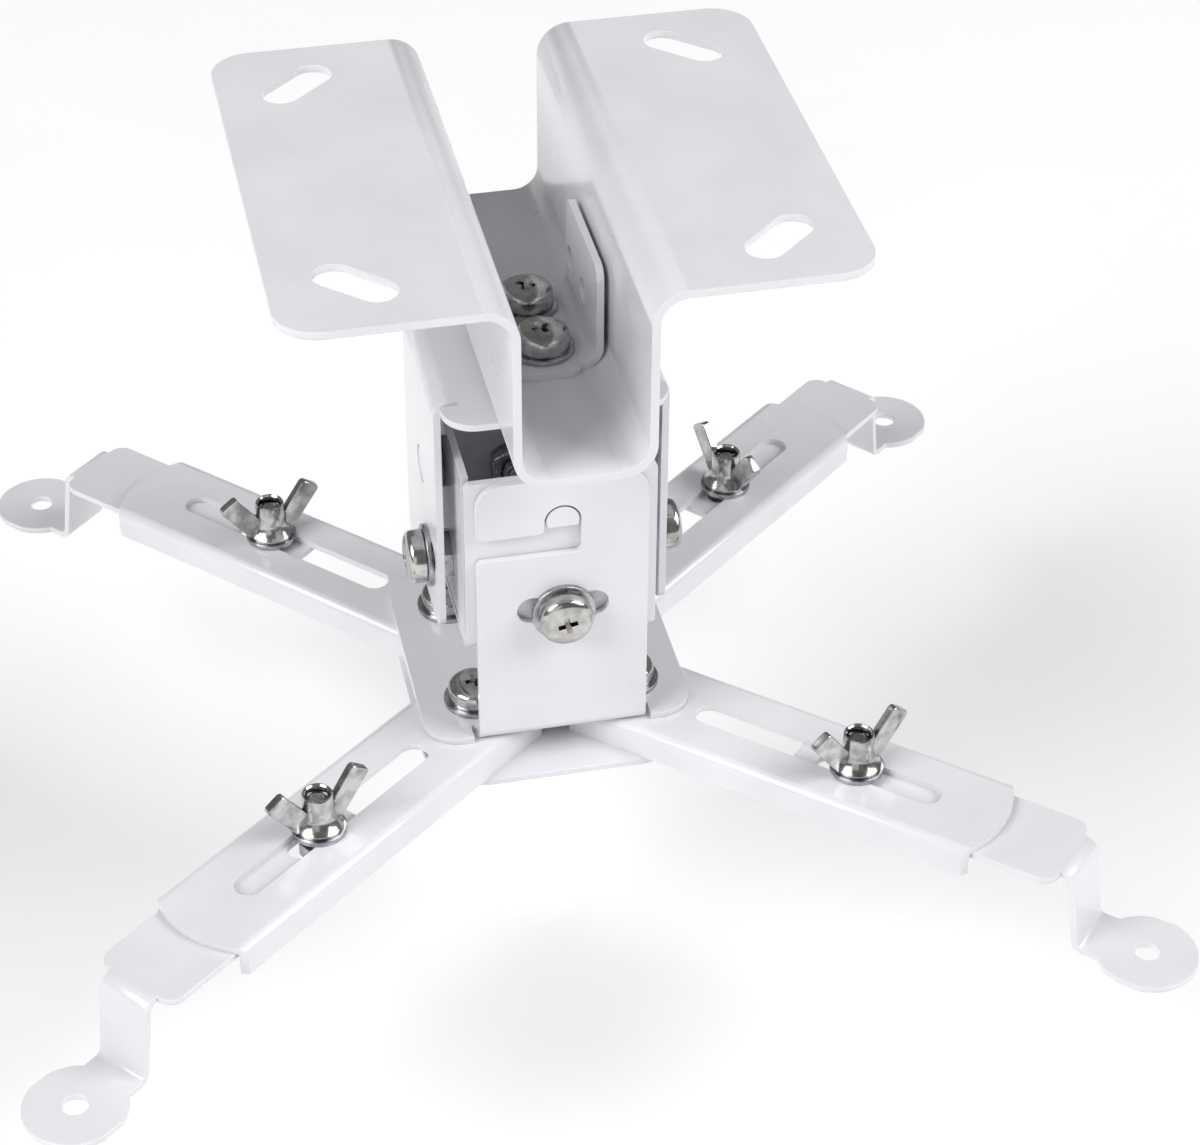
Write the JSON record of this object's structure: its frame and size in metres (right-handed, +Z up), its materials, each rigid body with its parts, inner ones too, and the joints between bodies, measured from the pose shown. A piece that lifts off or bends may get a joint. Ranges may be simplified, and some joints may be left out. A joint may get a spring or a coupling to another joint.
{
  "type": "ceiling projector mount",
  "caption": "Ceiling projector mount: folded channel bracket, yoke and two-way tilt head carrying four swinging, sliding arms with screw-down feet.",
  "frame": {"origin": "in the ceiling face, on the upright line through the middle of the tilt head", "axes": "+Z up into the ceiling, -Y towards the front, +X to the right seen from the front"},
  "size_m": [0.2525, 0.2353, 0.15],
  "materials": {
    "white_paint": "glossy white powder coat on folded sheet steel",
    "painted_pins": "turned steel pins, zinc plated",
    "bright_screws": "nickel-plated pan heads",
    "zinc_washers": "zinc-plated stamped washers",
    "zinc_nuts": "zinc-plated hexagon nuts",
    "foot_bolts": "zinc-plated hexagon bolts",
    "bright_wing_nuts": "nickel-plated cast wing nuts"
  },
  "bodies": {
    "hanger": {"ceiling_bracket": "white_paint", "clamp_bracket": "white_paint", "hanger_screws": "bright_screws", "hanger_washers": "zinc_washers", "hanger_nuts": "zinc_nuts", "yoke": "white_paint"},
    "tilt_head": {"tilt_box": "white_paint", "pitch_rivet_left": "painted_pins", "pitch_lock_washer_left": "zinc_washers", "pitch_lock_screw_left": "bright_screws", "pitch_lock_nut_left": "zinc_nuts", "pitch_rivet_right": "painted_pins", "pitch_lock_washer_right": "zinc_washers", "pitch_lock_screw_right": "bright_screws", "pitch_lock_nut_right": "zinc_nuts", "roll_stud_front": "painted_pins", "roll_lock_washer_front": "zinc_washers", "roll_lock_screw_front": "bright_screws", "roll_lock_nut_front": "zinc_nuts", "roll_stud_back": "painted_pins", "roll_lock_washer_back": "zinc_washers", "roll_lock_screw_back": "bright_screws", "roll_lock_nut_back": "zinc_nuts"},
    "base": {"base_bracket": "white_paint", "lower_plate": "white_paint", "arm_pivot_screws": "bright_screws", "arm_pivot_washers": "zinc_washers", "arm_pivot_nuts": "zinc_nuts"},
    "arm_front_left": {"arm_front_left": "white_paint"},
    "foot_front_left": {"foot_front_left": "white_paint", "foot_bolt_front_left": "foot_bolts", "foot_washer_front_left": "zinc_washers"},
    "wing_front_left": {"wing_nut_front_left": "bright_wing_nuts"},
    "arm_front_right": {"arm_front_right": "white_paint"},
    "foot_front_right": {"foot_front_right": "white_paint", "foot_bolt_front_right": "foot_bolts", "foot_washer_front_right": "zinc_washers"},
    "wing_front_right": {"wing_nut_front_right": "bright_wing_nuts"},
    "arm_back_left": {"arm_back_left": "white_paint"},
    "foot_back_left": {"foot_back_left": "white_paint", "foot_bolt_back_left": "foot_bolts", "foot_washer_back_left": "zinc_washers"},
    "wing_back_left": {"wing_nut_back_left": "bright_wing_nuts"},
    "arm_back_right": {"arm_back_right": "white_paint"},
    "foot_back_right": {"foot_back_right": "white_paint", "foot_bolt_back_right": "foot_bolts", "foot_washer_back_right": "zinc_washers"},
    "wing_back_right": {"wing_nut_back_right": "bright_wing_nuts"}
  },
  "joints": [
    {"name": "pitch", "type": "hinge", "parent": "hanger", "child": "tilt_head", "pos_m": [0, 0, -0.0715], "axis": [1, 0, 0], "range_deg": [-15, 15]},
    {"name": "roll", "type": "hinge", "parent": "tilt_head", "child": "base", "pos_m": [0, 0, -0.0689], "axis": [0, 1, 0], "range_deg": [-15, 15]},
    {"name": "swing_front_left", "type": "hinge", "parent": "base", "child": "arm_front_left", "pos_m": [-0.0175, -0.0175, -0.131], "axis": [0, 0, 1], "range_deg": [-20, 20]},
    {"name": "reach_front_left", "type": "slide", "parent": "arm_front_left", "child": "foot_front_left", "axis": [-0.766, -0.6428, 0], "range_m": [-0.0294, 0.0228]},
    {"name": "wing_turn_front_left", "type": "hinge", "parent": "foot_front_left", "child": "wing_front_left", "pos_m": [-0.05779, -0.05131, -0.12], "axis": [0, 0, 1], "continuous": true},
    {"name": "swing_front_right", "type": "hinge", "parent": "base", "child": "arm_front_right", "pos_m": [0.0175, -0.0175, -0.131], "axis": [0, 0, 1], "range_deg": [-20, 20]},
    {"name": "reach_front_right", "type": "slide", "parent": "arm_front_right", "child": "foot_front_right", "axis": [0.7431, -0.6691, 0], "range_m": [-0.0346, 0.0176]},
    {"name": "wing_turn_front_right", "type": "hinge", "parent": "foot_front_right", "child": "wing_front_right", "pos_m": [0.06045, -0.05618, -0.12], "axis": [0, 0, 1], "continuous": true},
    {"name": "swing_back_left", "type": "hinge", "parent": "base", "child": "arm_back_left", "pos_m": [-0.0175, 0.0175, -0.131], "axis": [0, 0, 1], "range_deg": [-20, 20]},
    {"name": "reach_back_left", "type": "slide", "parent": "arm_back_left", "child": "foot_back_left", "axis": [-0.6959, 0.7181, 0], "range_m": [-0.029, 0.0232]},
    {"name": "wing_turn_back_left", "type": "hinge", "parent": "foot_back_left", "child": "wing_back_left", "pos_m": [-0.05383, 0.05499, -0.12], "axis": [0, 0, 1], "continuous": true},
    {"name": "swing_back_right", "type": "hinge", "parent": "base", "child": "arm_back_right", "pos_m": [0.0175, 0.0175, -0.131], "axis": [0, 0, 1], "range_deg": [-20, 20]},
    {"name": "reach_back_right", "type": "slide", "parent": "arm_back_right", "child": "foot_back_right", "axis": [0.7559, 0.6547, 0], "range_m": [-0.0306, 0.0216]},
    {"name": "wing_turn_back_right", "type": "hinge", "parent": "foot_back_right", "child": "wing_back_right", "pos_m": [0.05817, 0.05273, -0.12], "axis": [0, 0, 1], "continuous": true}
  ]
}
